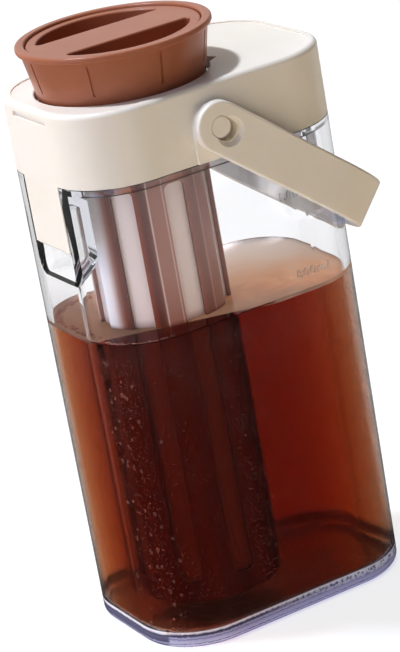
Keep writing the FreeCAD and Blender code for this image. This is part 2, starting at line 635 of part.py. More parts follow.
def make_lid_liner():
    body = new_body("lid_liner")
    plate_foot = f"{LID_INSIDE} - dim.liner_plate"
    plate = new_sketch(body, "plate", height=plate_foot)
    draw_outline(plate, "dim.lid_wall + dim.liner_gap")
    pad(body, plate, "dim.liner_plate")
    plug = new_sketch(body, "plug", height=PLUG_FOOT)
    draw_outline(plug, PLUG_INSET)
    pad(body, plug, f"{plate_foot} - {PLUG_FOOT}")
    hollow = new_sketch(body, "plug_hollow", height=PLUG_FOOT)
    draw_outline(hollow, f"{PLUG_INSET} + dim.plug_wall")
    pocket(body, hollow, f"{plate_foot} - {PLUG_FOOT}", forward=True)
    throat = new_sketch(body, "throat", height=PLUG_FOOT)
    draw_circle(throat, THROAT_OUTSIDE, x=FILTER_X)
    pad(body, throat, f"{plate_foot} - {PLUG_FOOT}")
    groove = new_sketch(body, "seal_groove", height=f"{SEAL_FOOT} + dim.seal_height")
    draw_outline(groove, NECK_INSIDE)
    draw_outline(groove, f"{PLUG_INSET} + dim.seal_groove")
    pocket(body, groove, "dim.seal_height")
    bore = new_sketch(body, "throat_bore", height=LID_INSIDE)
    draw_circle(bore, THROAT_RADIUS, x=FILTER_X)
    pocket(body, bore, f"{LID_INSIDE} - {PLUG_FOOT}")
    return body


def make_lid_gasket():
    body = new_body("lid_gasket")
    ring = new_sketch(body, "ring", height=f"{SEAL_FOOT} + dim.seat_gap")
    draw_outline(ring, f"{NECK_INSIDE} + dim.seal_gap")
    draw_outline(ring, f"{PLUG_INSET} + dim.seal_groove - dim.seat_gap")
    pad(body, ring, "dim.seal_height - 2 * dim.seat_gap")
    return body


def make_pivot_pin(label, side):
    """A round-headed pin pressed into the lid; side is -1 at the front and 1 at the back."""
    body = new_body(label)
    face = STRAP_OUTSIDE
    sign = "" if side > 0 else "-"
    revolve(body, "profile", [
        ("0", f"{sign}({face})"),
        ("dim.pin_radius - dim.pin_bevel", f"{sign}({face})"),
        ("dim.pin_radius", f"{sign}({face} - dim.pin_bevel)"),
        ("dim.pin_radius", f"{sign}({BOSS_FACE})"),
        (SPIGOT_RADIUS, f"{sign}({BOSS_FACE})"),
        (SPIGOT_RADIUS, f"{sign}({HALF_Y} - dim.lid_wall)"),
        ("0", f"{sign}({HALF_Y} - dim.lid_wall)"),
    ], role="XY_Plane")
    body.setExpression("Placement.Base.x", "dim.pivot_x")
    body.setExpression("Placement.Base.z", PIVOT_HEIGHT)
    return body


# ---------------------------------------------------------------- handle

def make_handle():
    """A strap bent to a U. It is drawn level, with its eyes on the origin, and then turned down
    to where its bend lies against the jug's end."""
    body = new_body("handle")
    half_width = "dim.handle_width / 2"
    bend = f"{STRAP_OUTSIDE} - ({HALF_Y} - dim.body_corner)"
    # Where the inside of the bend must be for its lower edge to clear the jug's end.
    reach_inside = (f"({HALF_X} + dim.handle_rest_gap - dim.pivot_x"
                    f" + {half_width} * sin(dim.handle_angle)) / cos(dim.handle_angle)")
    strap = new_sketch(body, "strap")
    outside = f"{reach_inside} + dim.handle_thick"
    draw_box(strap, ("0", outside), (f"-({STRAP_OUTSIDE})", STRAP_OUTSIDE), (bend, None, None, bend))
    pad(body, strap, "dim.handle_width", symmetric=True)
    eye = new_sketch(body, "eye", "XZ_Plane", height=STRAP_INSIDE)
    draw_circle(eye, half_width)
    eye_pad = pad(body, eye, "dim.handle_thick")
    mirror(body, [eye_pad], "XZ_Plane")
    inside = new_sketch(body, "strap_inside")
    inner_bend = f"{bend} - dim.handle_thick"
    draw_box(inside, ("-dim.handle_width", reach_inside),
             (f"-({STRAP_INSIDE})", STRAP_INSIDE), (inner_bend, None, None, inner_bend))
    opened = pocket(body, inside, "2 * dim.handle_width", symmetric=True)

    half = value(half_width)

    def strap_edge(edge):
        """Edges along the strap's two sides and round its eyes."""
        return all((abs(abs(p.z) - half) < TINY and p.x > -TINY)
                   or (p.x < TINY and abs(math.hypot(p.x, p.z) - half) < TINY)
                   for p in edge_points(edge)) and edge.Length > 1
    round_edges(body, opened, "dim.handle_round", strap_edge)

    slot = new_sketch(body, "slot", "XZ_Plane")
    draw_slot(slot, SLOT_RADIUS, "dim.slot_travel")
    pocket(body, slot, THROUGH, symmetric=True)
    sink = body.newObject("PartDesign::SubtractiveCone", "handle_sink")
    sink.AttachmentSupport = [(origin_plane(body, "XZ_Plane"), "")]
    sink.MapMode = "FlatFace"
    sink.setExpression("AttachmentOffset.Base.x", "dim.slot_travel + dim.sink_offset")
    sink.setExpression("AttachmentOffset.Base.z", f"{STRAP_OUTSIDE} - dim.sink_depth")
    sink.setExpression("Radius1", SLOT_RADIUS)
    sink.setExpression("Radius2", f"{SLOT_RADIUS} + dim.sink_flare")
    sink.setExpression("Height", "dim.sink_depth")
    finish(body, sink)
    mirror(body, [sink], "XZ_Plane")
    body.Placement = FreeCAD.Placement(FreeCAD.Vector(0, 0, 0),
                                       FreeCAD.Rotation(FreeCAD.Vector(0, 1, 0), 1))
    body.setExpression("Placement.Base.x", "dim.pivot_x")
    body.setExpression("Placement.Base.z", PIVOT_HEIGHT)
    body.setExpression("Placement.Rotation.Angle", "dim.handle_angle")
    return body


# ---------------------------------------------------------------- filter

def make_filter_collar():
    body = new_body("filter_collar")
    ring_top = f"{RING_FOOT} + dim.ring_height"
    ring_hole = f"{CAGE_RADIUS} + dim.cage_gap"
    profile = revolve(body, "profile", [
        (ring_hole, COLLAR_FOOT),
        (f"{COLLAR_NECK} - dim.collar_wall", COLLAR_FOOT),
        (COLLAR_NECK, f"{COLLAR_FOOT} + dim.collar_wall"),
        (COLLAR_NECK, RING_FOOT),
        (f"{COLLAR_NECK} - dim.ring_groove", RING_FOOT),
        (f"{COLLAR_NECK} - dim.ring_groove", ring_top),
        (COLLAR_NECK, ring_top),
        (COLLAR_NECK, COLLAR_SEAT),
        (CONE_FOOT, COLLAR_SEAT),
        (CONE_TOP, RIM_LIP),
        (RIM_RADIUS, RIM_LIP),
        (RIM_RADIUS, RIM_HEIGHT),
        (CAP_BORE, RIM_HEIGHT),
        (CAP_BORE, LEDGE),
        (LEDGE_RADIUS, LEDGE),
        (LEDGE_RADIUS, TAPER_TOP),
        (COLLAR_BORE, f"{TAPER_TOP} - dim.funnel_run"),
        (COLLAR_BORE, COLLAR_RING),
        (ring_hole, COLLAR_RING),
    ])
    rim_edges = [circle_at(RIM_RADIUS, RIM_HEIGHT), circle_at(CAP_BORE, RIM_HEIGHT),
                 circle_at(RIM_RADIUS, RIM_LIP)]
    round_edges(body, profile, "dim.rim_round",
                lambda edge: any(is_wanted(edge) for is_wanted in rim_edges))

    # Thin grip lines cut into the cone, all to one depth below its slope.
    slope = f"(dim.cone_flare / ({RIM_LIP} - {COLLAR_SEAT}))"
    line_foot, line_top = f"({COLLAR_SEAT} + dim.grip_lift)", f"({RIM_LIP} - dim.grip_drop)"
    cut_foot = f"{CONE_FOOT} + {slope} * ({line_foot} - {COLLAR_SEAT}) - dim.grip_depth"
    cut_top = f"{CONE_FOOT} + {slope} * ({line_top} - {COLLAR_SEAT}) - dim.grip_depth"
    grip_line = new_sketch(body, "grip_line", "XZ_Plane")
    draw_polygon(grip_line, [
        (cut_foot, line_foot), (RIM_RADIUS, line_foot), (RIM_RADIUS, line_top), (cut_top, line_top),
    ])
    line_pocket = pocket(body, grip_line, "dim.grip_width", symmetric=True)
    repeat_round(body, line_pocket, "dim.grip_count")
    put_on_filter_axis(body)
    return body


def make_filter_cage():
    body = new_body("filter_cage")
    flange_top = f"{COLLAR_RING} + dim.flange_thick"
    ribs_top = f"{WINDOW_TOP} + dim.window_corner"
    profile = revolve(body, "profile", [
        ("0", CAGE_FOOT),
        (CAGE_RADIUS, CAGE_FOOT),
        (CAGE_RADIUS, f"{ribs_top} - dim.neck_blend"),
        (CAGE_NECK, ribs_top),
        (CAGE_NECK, COLLAR_RING),
        (CAGE_FLANGE, COLLAR_RING),
        (CAGE_FLANGE, flange_top),
        (CAGE_BORE, flange_top),
        (CAGE_BORE, f"{CAGE_FOOT} + dim.cage_floor"),
        ("0", f"{CAGE_FOOT} + dim.cage_floor"),
    ])
    round_edges(body, profile, "dim.cage_round", circle_at(CAGE_RADIUS, CAGE_FOOT))
    window = new_sketch(body, "window", "XZ_Plane")
    draw_box(window, ("-dim.window_width / 2", "dim.window_width / 2"),
             (WINDOW_FOOT, WINDOW_TOP), ["dim.window_corner"] * 4)
    cut = pocket(body, window, f"2 * {CAGE_RADIUS}", forward=True)
    repeat_round(body, cut, "dim.window_count")
    put_on_filter_axis(body)
    return body


def make_filter_mesh():
    body = new_body("filter_mesh")
    outside = f"{CAGE_BORE} - dim.mesh_gap"
    foot, top = f"{WINDOW_FOOT} - dim.mesh_overlap", f"{WINDOW_TOP} + dim.mesh_overlap"
    revolve(body, "profile", [
        (f"{outside} - dim.mesh_thick", foot),
        (outside, foot),
        (outside, top),
        (f"{outside} - dim.mesh_thick", top),
    ])
    put_on_filter_axis(body)
    return body


def make_collar_gasket():
    body = new_body("collar_gasket")
    inside = f"{COLLAR_NECK} - dim.ring_groove + dim.seat_gap"
    outside = f"{THROAT_RADIUS} - dim.ring_gap"
    foot = f"{RING_FOOT} + dim.ring_gap"
    top = f"{RING_FOOT} + dim.ring_height - dim.ring_gap"
    revolve(body, "profile", [(inside, foot), (outside, foot), (outside, top), (inside, top)])
    put_on_filter_axis(body)
    return body


# ---------------------------------------------------------------- grip cap

def make_grip_cap():
    body = new_body("grip_cap")
    profile = revolve(body, "profile", [
        ("0", CAP_FOOT),
        (CAP_CUP, CAP_FOOT),
        (CAP_CUP, CAP_UNDER),
        (CAP_RADIUS, CAP_UNDER),
        (CAP_RADIUS, CAP_TOP),
        ("0", CAP_TOP),
    ])
    round_edges(body, profile, "dim.cap_round", circle_at(CAP_RADIUS, CAP_TOP))
    half_bar = "dim.grip_bar / 2"
    pocket_radius = f"{CAP_CUP} - dim.pocket_wall"
    for side, name in ((1, "back_pocket"), (-1, "front_pocket")):
        sketch = new_sketch(body, name, height=CAP_TOP)
        draw_pocket(sketch, pocket_radius, half_bar, "dim.pocket_round", side)
        pocket(body, sketch, "dim.cap_depth - dim.cap_skin")

    top, widest, bar = value(CAP_TOP), value(pocket_radius), value(half_bar)

    def pocket_lip(edge):
        """The top edges of both pockets."""
        return all(abs(p.z - top) < TINY and math.hypot(p.x, p.y) < widest + TINY
                   and abs(p.y) > bar - TINY for p in edge_points(edge))
    round_edges(body, body.Tip, "dim.cap_round", pocket_lip)
    # The bar is hollow from below, so that the moulding has one wall thickness.
    hollow = new_sketch(body, "bar_hollow", height=CAP_FOOT)
    half_hollow = f"({half_bar} - dim.cap_skin)"
    reach = f"sqrt(({CAP_CUP} - dim.cap_skin) ^ 2 - {half_hollow} ^ 2)"
    draw_box(hollow, (f"-{reach}", reach), (f"-{half_hollow}", half_hollow), SHARP)
    pocket(body, hollow, "dim.cap_depth - dim.cap_skin", forward=True)
    put_on_filter_axis(body)
    return body


def make_cap_gasket():
    body = new_body("cap_gasket")
    inside = f"{CAP_CUP} + dim.cap_seal_gap"
    outside = f"{CAP_BORE} - dim.cap_seal_gap"
    foot = f"{LEDGE} + dim.cap_seal_gap"
    top = f"{foot} + dim.cap_seal"
    revolve(body, "profile", [(inside, foot), (outside, foot), (outside, top), (inside, top)])
    put_on_filter_axis(body)
    return body


# ---------------------------------------------------------------- build, check and write

pieces = [
    make_container(),
    make_lid_shell(),
    make_lid_liner(),
    make_lid_gasket(),
    make_pivot_pin("front_pivot_pin", -1),
    make_pivot_pin("rear_pivot_pin", 1),
    make_handle(),
    make_filter_collar(),
    make_filter_cage(),
    make_filter_mesh(),
    make_collar_gasket(),
    make_grip_cap(),
    make_cap_gasket(),
]
doc.recompute()

for item in doc.Objects:
    if {"Invalid", "Error"} & set(item.State):
        raise RuntimeError(f"{item.Name} failed: {item.State}")
for piece in pieces:
    if piece.Shape.isNull() or not piece.Shape.isValid() or len(piece.Shape.Solids) != 1:
        raise RuntimeError(f"{piece.Label} is not one valid solid")

os.makedirs("parts", exist_ok=True)
for piece in pieces:
    piece.Shape.exportStep(os.path.join("parts", f"{piece.Label}.step"))
    box = piece.Shape.BoundBox
    print(f"{piece.Label:16s} volume {piece.Shape.Volume:10.1f}  x {box.XMin:7.2f} {box.XMax:7.2f}"
          f"  y {box.YMin:7.2f} {box.YMax:7.2f}  z {box.ZMin:7.2f} {box.ZMax:7.2f}")
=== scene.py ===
import math
import random

import bmesh
import bpy
from mathutils import Matrix, Vector


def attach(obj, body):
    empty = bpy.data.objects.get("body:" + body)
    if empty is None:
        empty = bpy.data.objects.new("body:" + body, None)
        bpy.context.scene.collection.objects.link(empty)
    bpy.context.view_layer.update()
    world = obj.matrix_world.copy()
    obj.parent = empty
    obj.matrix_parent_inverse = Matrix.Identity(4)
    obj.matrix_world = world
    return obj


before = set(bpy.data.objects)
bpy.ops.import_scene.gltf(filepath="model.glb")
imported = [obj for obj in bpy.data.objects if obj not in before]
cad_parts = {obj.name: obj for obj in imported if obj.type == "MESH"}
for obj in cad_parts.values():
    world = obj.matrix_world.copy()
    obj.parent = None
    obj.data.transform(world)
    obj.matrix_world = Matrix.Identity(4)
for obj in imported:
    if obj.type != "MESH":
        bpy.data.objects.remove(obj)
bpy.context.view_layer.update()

# Cold brew jug on a pale floor: clear jug, cream lid and handle, brown filter and grip cap, coffee.
# Metres. Origin: centre of the jug's flat base. +X along the long side, -Y the front.
MM = 0.001

# Sizes that the new pieces share with the jug and its filter.
JUG_HALF_X = 52.65 * MM
JUG_HALF_Y = 37.40 * MM
JUG_SHOULDER = 173.3 * MM
JUG_DRAFT = 0.25 * MM  # the foot is this much smaller on each side
JUG_WALL = 2.9 * MM
JUG_CORNER = 24.8 * MM
JUG_FLOOR = 3.6 * MM
FILTER_X = -15.25 * MM  # the filter stands this far from the jug's centre
NET_RADIUS = 22.2 * MM
WINDOW_PITCH = math.radians(45)  # eight windows round the cage

COFFEE_LEVEL = 117.0 * MM
COFFEE_ROUND = 1.8 * MM  # round of the coffee's lower edge
PAINTED_FOOT_BAND = 7.0 * MM  # the painted glow of the thick floor shows this high up the wall


def wall_at(height, half):
    """The jug's outside half size at a height, with its draft."""
    return half - JUG_DRAFT * (1 - height / JUG_SHOULDER)


# ---------------------------------------------------------------- materials

# A Mix node's sockets for colours.
FACTOR, COLOUR_A, COLOUR_B = 0, 6, 7


def srgb(code):
    """A hex colour as linear red, green, blue and alpha."""
    parts = [int(code[i : i + 2], 16) / 255 for i in (1, 3, 5)]
    return (
        *[c / 12.92 if c <= 0.04045 else ((c + 0.055) / 1.055) ** 2.4 for c in parts],
        1.0,
    )


def feed(tree, node, inputs):
    """Sets a node's inputs. Each takes a plain value, a hex colour, an output of another node,
    or another node, which stands for its first open output."""
    for name, value in inputs.items():
        if isinstance(value, bpy.types.Node):
            value = next(out for out in value.outputs if out.enabled)
        if isinstance(value, bpy.types.NodeSocket):
            tree.links.new(value, node.inputs[name])
        else:
            node.inputs[name].default_value = srgb(value) if isinstance(value, str) else value


def add(tree, kind, inputs=None, stops=None, **settings):
    """Adds a shader node with its settings and inputs. stops are a ramp's places and hex colours."""
    made = tree.nodes.new("ShaderNode" + kind)
    for name, value in settings.items():
        setattr(made, name, value)
    feed(tree, made, inputs or {})
    if stops:
        elements = made.color_ramp.elements
        for element, (place, colour) in zip(elements, (stops[0], stops[-1])):
            element.position, element.color = place, srgb(colour)
        for place, colour in stops[1:-1]:
            elements.new(place).color = srgb(colour)
    return made


def new_material(name):
    """An empty material with its output node."""
    made = bpy.data.materials.new(name)
    made.use_nodes = True
    made.node_tree.nodes.clear()
    return made, made.node_tree, add(made.node_tree, "OutputMaterial")


def places(tree):
    """A place on a piece, and its X, Y and Z."""
    place = add(tree, "TexCoord").outputs["Object"]
    return place, *add(tree, "SeparateXYZ", {0: place}).outputs


def round_filter(tree, x, y):
    """The angle round the filter's axis, in radians."""
    from_axis = add(tree, "Math", {0: x, 1: FILTER_X}, operation="SUBTRACT")
    return add(tree, "Math", {0: y, 1: from_axis}, operation="ARCTAN2")


def from_core(tree, place):
    """How far a place lies outside the inner rectangle that the jug's rounded corners are drawn from."""
    core = (JUG_HALF_X - JUG_CORNER, JUG_HALF_Y - JUG_CORNER, 1)
    folded = add(tree, "VectorMath", {0: place}, operation="ABSOLUTE")
    beyond = add(tree, "VectorMath", {0: folded, 1: core}, operation="SUBTRACT")
    outside = add(tree, "VectorMath", {0: beyond, 1: (0, 0, 0)}, operation="MAXIMUM")
    return add(tree, "VectorMath", {0: outside}, operation="LENGTH")


def moulded(name, light, dark, roughness, grain, depth, scatter, glow, shine=0.5):
    """An opaque moulded plastic: two near shades in soft flow clouds, and a spark-eroded grain with a satin
    gloss that varies. grain and depth are its width and height, and glow how far each colour spreads."""
    clouds = 22 * MM
    made, tree, out = new_material(name)
    place = add(tree, "TexCoord").outputs["Object"]
    cloud = add(tree, "TexNoise", {"Vector": place, "Scale": 1 / clouds, "Detail": 3.0, "Roughness": 0.5})
    pits = add(tree, "TexNoise", {"Vector": place, "Scale": 1 / grain, "Detail": 2.0, "Roughness": 0.6})
    shade = add(tree, "ValToRGB", {"Fac": cloud}, [(0.3, dark), (0.7, light)])
    gloss = add(tree, "MapRange", {
        "Value": pits, "From Min": 0.3, "From Max": 0.7,
        "To Min": roughness - 0.04, "To Max": roughness + 0.05,
    })
    bump = add(tree, "Bump", {"Height": pits, "Strength": 0.35, "Distance": depth})
    skin = add(tree, "BsdfPrincipled", {
        "Base Color": shade, "Roughness": gloss, "Normal": bump, "IOR": 1.52, "Specular IOR Level": shine,
        "Subsurface Weight": scatter, "Subsurface Radius": glow, "Subsurface Scale": 2.0 * MM,
    })
    feed(tree, out, {"Surface": skin})
    return made


def clear(name, tint, ior, roughness=0.0, share=1.0, keeps=None, density=0.0, finish=None):
    """A clear body: light refracts through it for the eye, and lamps reach what is behind it. share is how
    much of it is clear. keeps is the share of red, green and blue that passes, and density how soon the rest
    is gone. finish adds what is on its skin and gives the shader that the eye sees."""
    made, tree, out = new_material(name)
    skin = add(tree, "BsdfPrincipled", {
        "Base Color": tint, "Roughness": roughness, "IOR": ior, "Transmission Weight": share,
    })
    seen = finish(tree, skin) if finish else skin
    to_lamps = add(tree, "BsdfTransparent", {"Color": tint})
    path = add(tree, "LightPath")
    both = add(tree, "MixShader", {0: path.outputs["Is Shadow Ray"], 1: seen, 2: to_lamps})
    feed(tree, out, {"Surface": both})
    if keeps:
        feed(tree, out, {"Volume": add(tree, "VolumeAbsorption", {"Color": keeps, "Density": density})})
    return made


# The slow waves that a clear moulding keeps from the flow of the melt.
RIPPLE_WIDTH, RIPPLE_DEPTH = 16 * MM, 0.02 * MM


def dry_skin(tree, skin):
    """Flow ripples."""
    place = add(tree, "TexCoord").outputs["Object"]
    wave = add(tree, "TexNoise", {"Vector": place, "Scale": 1 / RIPPLE_WIDTH, "Detail": 1.0})
    bump = add(tree, "Bump", {"Height": wave, "Strength": 1.0, "Distance": RIPPLE_DEPTH})
    feed(tree, skin, {"Normal": bump})
    return skin


def cold_skin(tree, skin):
    """Flow ripples, patches of fog as high as the cold coffee, and the painted glow of the thick floor's
    edge.
    """
    place, x, y, z = places(tree)
    fog = 0.07  # the roughness where it is thickest
    fog_starts, fog_full = COFFEE_LEVEL + 3 * MM, COFFEE_LEVEL - 6 * MM
    patches, beads = 9 * MM, 0.55 * MM
    bead_height = 9.0  # in depths of a ripple, for each unit of roughness
    patch = add(tree, "TexNoise", {"Vector": place, "Scale": 1 / patches, "Detail": 4.0, "Roughness": 0.6})
    wet = add(tree, "MapRange", {
        "Value": patch, "From Min": 0.35, "From Max": 0.6, "To Min": 0.5 * fog, "To Max": fog,
    })
    below = add(tree, "MapRange", {"Value": z, "From Min": fog_starts, "From Max": fog_full})
    haze = add(tree, "Math", {0: wet, 1: below}, operation="MULTIPLY")
    # Mist too fine to model: it breaks up what is seen through the wall.
    wave = add(tree, "TexNoise", {"Vector": place, "Scale": 1 / RIPPLE_WIDTH, "Detail": 1.0})
    mist = add(tree, "TexNoise", {"Vector": place, "Scale": 1 / beads, "Detail": 1.0})
    bead = add(tree, "MapRange", {"Value": mist, "From Min": 0.5, "From Max": 0.7})
    foggy = add(tree, "Math", {0: bead, 1: haze}, operation="MULTIPLY")
    raised = add(tree, "Math", {0: foggy, 1: bead_height}, operation="MULTIPLY")
    both = add(tree, "Math", {0: wave, 1: raised}, operation="ADD")
    bump = add(tree, "Bump", {"Height": both, "Strength": 1.0, "Distance": RIPPLE_DEPTH})
    feed(tree, skin, {"Roughness": haze, "Normal": bump})
    painted_foot_glow(tree, skin, place, x, z)
    return skin


def painted_foot_glow(tree, skin, place, x, z):
    """Painted light on the thick floor's edge: a painted lavender glow with fine dark refraction lines and a
    navy foot in front, greyer at the left end, and painted white glints along its top."""
    glint_width, sway = 1.2 * MM, 0.2 * MM
    rough = add(tree, "TexNoise", {"Vector": place, "Scale": 1 / glint_width, "Detail": 2.0})
    wander = add(tree, "MapRange", {
        "Value": rough, "From Min": 0.3, "From Max": 0.7, "To Min": -sway, "To Max": sway,
    })
    uneven = add(tree, "Math", {0: z, 1: wander}, operation="ADD")
    level = add(tree, "MapRange", {"Value": uneven, "From Min": 0.0, "From Max": PAINTED_FOOT_BAND})
    # Painted lavender glow with painted dark refraction lines, and a navy foot at the bottom.
    front = add(tree, "ValToRGB", {"Fac": level}, [
        (0.00, "#34386A"), (0.12, "#4A4E84"), (0.17, "#AEACCB"), (0.27, "#BCBAD4"), (0.31, "#52527A"),
        (0.36, "#BCBAD4"), (0.52, "#AAA8C6"), (0.58, "#72709A"), (0.64, "#B8B4CC"), (0.74, "#504E6C"),
        (0.82, "#3A3850"), (0.90, "#D8CCD2"), (0.98, "#F0E6E4"),
    ])
    # The same painted glow, greyer at the left end.
    left_end = add(tree, "ValToRGB", {"Fac": level}, [
        (0.00, "#565870"), (0.25, "#6A6A84"), (0.35, "#A4A4C0"), (0.42, "#4C4C64"),
        (0.66, "#606078"), (0.76, "#3A3A50"), (0.86, "#DCD8E2"), (1.00, "#FFFAF6"),
    ])
    # Painted white glints along the top of the band, more towards the right.
    specks = add(tree, "MapRange", {"Value": rough, "From Min": 0.40, "From Max": 0.52})
    upper = add(tree, "MapRange", {"Value": level, "From Min": 0.5, "From Max": 0.75})
    to_right = add(tree, "MapRange", {"Value": x, "From Min": -20 * MM, "From Max": 30 * MM})
    painted_glints = add(tree, "Math", {0: specks, 1: upper}, operation="MULTIPLY")
    painted_glints = add(tree, "Math", {0: painted_glints, 1: to_right}, operation="MULTIPLY")
    with_glints = add(tree, "Mix", {FACTOR: painted_glints, COLOUR_A: front, COLOUR_B: "#E8E6EE"}, data_type="RGBA")
    at_end = add(tree, "MapRange", {"Value": x, "From Min": -48.8 * MM, "From Max": -49.4 * MM})
    band = add(tree, "Mix", {FACTOR: at_end, COLOUR_A: with_glints, COLOUR_B: left_end}, data_type="RGBA")
    # Only the outer face of the wall shows it.
    outer = add(tree, "MapRange", {
        "Value": from_core(tree, place),
        "From Min": JUG_CORNER - 1.4 * MM, "From Max": JUG_CORNER - 1.0 * MM,
    })
    low = add(tree, "MapRange", {"Value": z, "From Min": PAINTED_FOOT_BAND, "From Max": PAINTED_FOOT_BAND - 0.3 * MM})
    shown = add(tree, "Math", {0: outer, 1: low}, operation="MULTIPLY")
    tone = add(tree, "Mix", {FACTOR: shown, COLOUR_A: "#FFFFFF", COLOUR_B: band}, data_type="RGBA")
    clearness = add(tree, "MapRange", {"Value": shown, "To Min": 1.0, "To Max": 0.1})
    feed(tree, skin, {"Base Color": tone, "Transmission Weight": clearness})


def oily_skin(tree, skin):
    """A film that is cream at the back, brown and grainy at the left and clear in front, with a thin pale
    ring along the wall. At the left end it carries a dark crust of coffee fines, which doesn't glow."""
    blotch_width, grain_width = 14 * MM, 1.1 * MM
    sway = 5 * MM  # how far blotches and grains shift the film's shades
    place, x, y, z = places(tree)
    patch = add(tree, "TexNoise", {
        "Vector": place, "Scale": 1 / blotch_width, "Detail": 4.0, "Roughness": 0.6, "Distortion": 0.6,
    })
    grain = add(tree, "TexNoise", {"Vector": place, "Scale": 1 / grain_width, "Detail": 1.0})
    blotches = add(tree, "MapRange", {
        "Value": patch, "From Min": 0.3, "From Max": 0.7, "To Min": -sway, "To Max": sway,
    })
    grains = add(tree, "MapRange", {
        "Value": grain, "From Min": 0.35, "From Max": 0.65, "To Min": -sway, "To Max": sway,
    })
    to_left = add(tree, "MapRange", {"Value": x, "From Min": -5 * MM, "From Max": -25 * MM})
    grainy = add(tree, "Math", {0: grains, 1: to_left}, operation="MULTIPLY")
    uneven = add(tree, "Math", {0: blotches, 1: grainy}, operation="ADD")
    # The film thickens towards the back and the right.
    slant = add(tree, "Math", {0: x, 1: 0.45}, operation="MULTIPLY")
    along = add(tree, "Math", {0: slant, 1: uneven}, operation="ADD")
    back = add(tree, "Math", {0: y, 1: along}, operation="ADD")
    depth = add(tree, "MapRange", {"Value": back, "From Min": -50 * MM, "From Max": 45 * MM})
    shade = add(tree, "ValToRGB", {"Fac": depth}, [
        (0.15, "#6A3420"), (0.30, "#A06E54"), (0.42, "#F09A62"),
        (0.60, "#FFC49A"), (0.80, "#FFE8D6"), (1.00, "#FFF8F2"),
    ])
    at_left = add(tree, "MapRange", {"Value": x, "From Min": -18 * MM, "From Max": -36 * MM, "To Max": 0.85})
    darker = add(tree, "Mix", {FACTOR: at_left, COLOUR_A: shade, COLOUR_B: "#241008"}, data_type="RGBA")
    at_wall = add(tree, "MapRange", {
        "Value": from_core(tree, place),
        "From Min": JUG_CORNER - JUG_WALL - 0.2 * MM, "From Max": JUG_CORNER - JUG_WALL,
    })
    ring = add(tree, "Math", {0: at_wall, 1: 0.6}, operation="MULTIPLY")
    ringed = add(tree, "Mix", {FACTOR: ring, COLOUR_A: darker, COLOUR_B: "#C8A48E"}, data_type="RGBA")
    top = add(tree, "MapRange", {
        "Value": z, "From Min": COFFEE_LEVEL - 1.2 * MM, "From Max": COFFEE_LEVEL - 1.0 * MM,
    })
    tone = add(tree, "Mix", {FACTOR: top, COLOUR_A: "#FFFFFF", COLOUR_B: ringed}, data_type="RGBA")
    # How much of the coffee it hides: at its thickest, at the left end and along the ring.
    thick = add(tree, "MapRange", {"Value": depth, "From Min": 0.15, "From Max": 0.5, "To Max": 0.98})
    near_end = add(tree, "MapRange", {
        "Value": x, "From Min": -22 * MM, "From Max": -36 * MM, "To Max": 0.85,
    })
    not_front = add(tree, "MapRange", {"Value": y, "From Min": -15 * MM, "From Max": -5 * MM})
    end = add(tree, "Math", {0: near_end, 1: not_front}, operation="MULTIPLY")
    cover = add(tree, "Math", {0: thick, 1: end}, operation="MAXIMUM")
    ring_hides = add(tree, "Math", {0: ring, 1: 0.7}, operation="MULTIPLY")
    cover = add(tree, "Math", {0: cover, 1: ring_hides}, operation="MAXIMUM")
    hides = add(tree, "Math", {0: top, 1: cover}, operation="MULTIPLY")
    clearness = add(tree, "Math", {0: 1.0, 1: hides}, operation="SUBTRACT")
    feed(tree, skin, {
        "Base Color": tone, "Transmission Weight": clearness,
        "Sheen Weight": 1.0, "Sheen Roughness": 0.5, "Sheen Tint": "#FFBE8E",
    })
    crust = add(tree, "BsdfPrincipled", {
        "Base Color": "#4E2614", "Roughness": 0.45, "IOR": 1.33, "Specular IOR Level": 0.2,
    })
    crusted = add(tree, "MapRange", {"Value": x, "From Min": -16 * MM, "From Max": -34 * MM, "To Max": 0.62})
    return add(tree, "MixShader", {0: crusted, 1: skin, 2: crust})


# Injection-moulded ABS in cream: a satin skin with a very fine even grain and a warm glow at its edges.
cream_abs = moulded(
    "cream_abs_satin", "#F4EEE5", "#F1EADF", roughness=0.36, grain=0.5 * MM, depth=0.010 * MM,
    scatter=0.12, glow=(1, 0.6, 0.4),
)
# Polypropylene in coffee brown: smooth, a little waxy, with a soft sheen.
brown_pp = moulded(
    "brown_polypropylene", "#A86446", "#A05E42", roughness=0.32, grain=0.45 * MM, depth=0.010 * MM,
    scatter=0.06, glow=(1, 0.4, 0.25), shine=0.3,
)
# Translucent silicone: milky, soft and dull.
silicone = moulded(
    "milky_silicone", "#E4E1DA", "#DAD6CD", roughness=0.48, grain=0.6 * MM, depth=0.008 * MM,
    scatter=0.25, glow=(1, 0.9, 0.8),
)
# Copolyester, moulded and polished: clear, with a faint blue grey where it is thick and slight flow ripples.
# The jug has a fog of condensation as high as the cold coffee, and the liner is dry.
BLUE_GREY = (0.62, 0.66, 0.88, 1)
copolyester = clear("clear_copolyester", "#FFFFFF", 1.50, keeps=BLUE_GREY, density=9.0, finish=cold_skin)
liner_clear = clear("clear_copolyester_dry", "#FFFFFF", 1.50, keeps=BLUE_GREY, density=9.0, finish=dry_skin)
# Cold brew coffee: black in depth, red brown where light comes through a little of it. It bends light less
# than real coffee, so that the jug's sides glow and don't mirror the inside.
coffee_body = clear("cold_brew_coffee", "#FFFFFF", 1.09, keeps=(0.745, 0.355, 0.03, 1), density=110.0)
# The skin of oil and fine foam on the coffee: it glows at a low angle, and hides the coffee where it is
# thick.
oil_film = clear("coffee_oil_film", "#FFFFFF", 1.25, roughness=0.22, finish=oily_skin)
# Water drops of condensation, with a pink brown painted in for the coffee seen through them; a little of
# each is dull, so that they show as specks.
water = clear("condensed_water", "#E2AC98", 1.33, share=0.965)


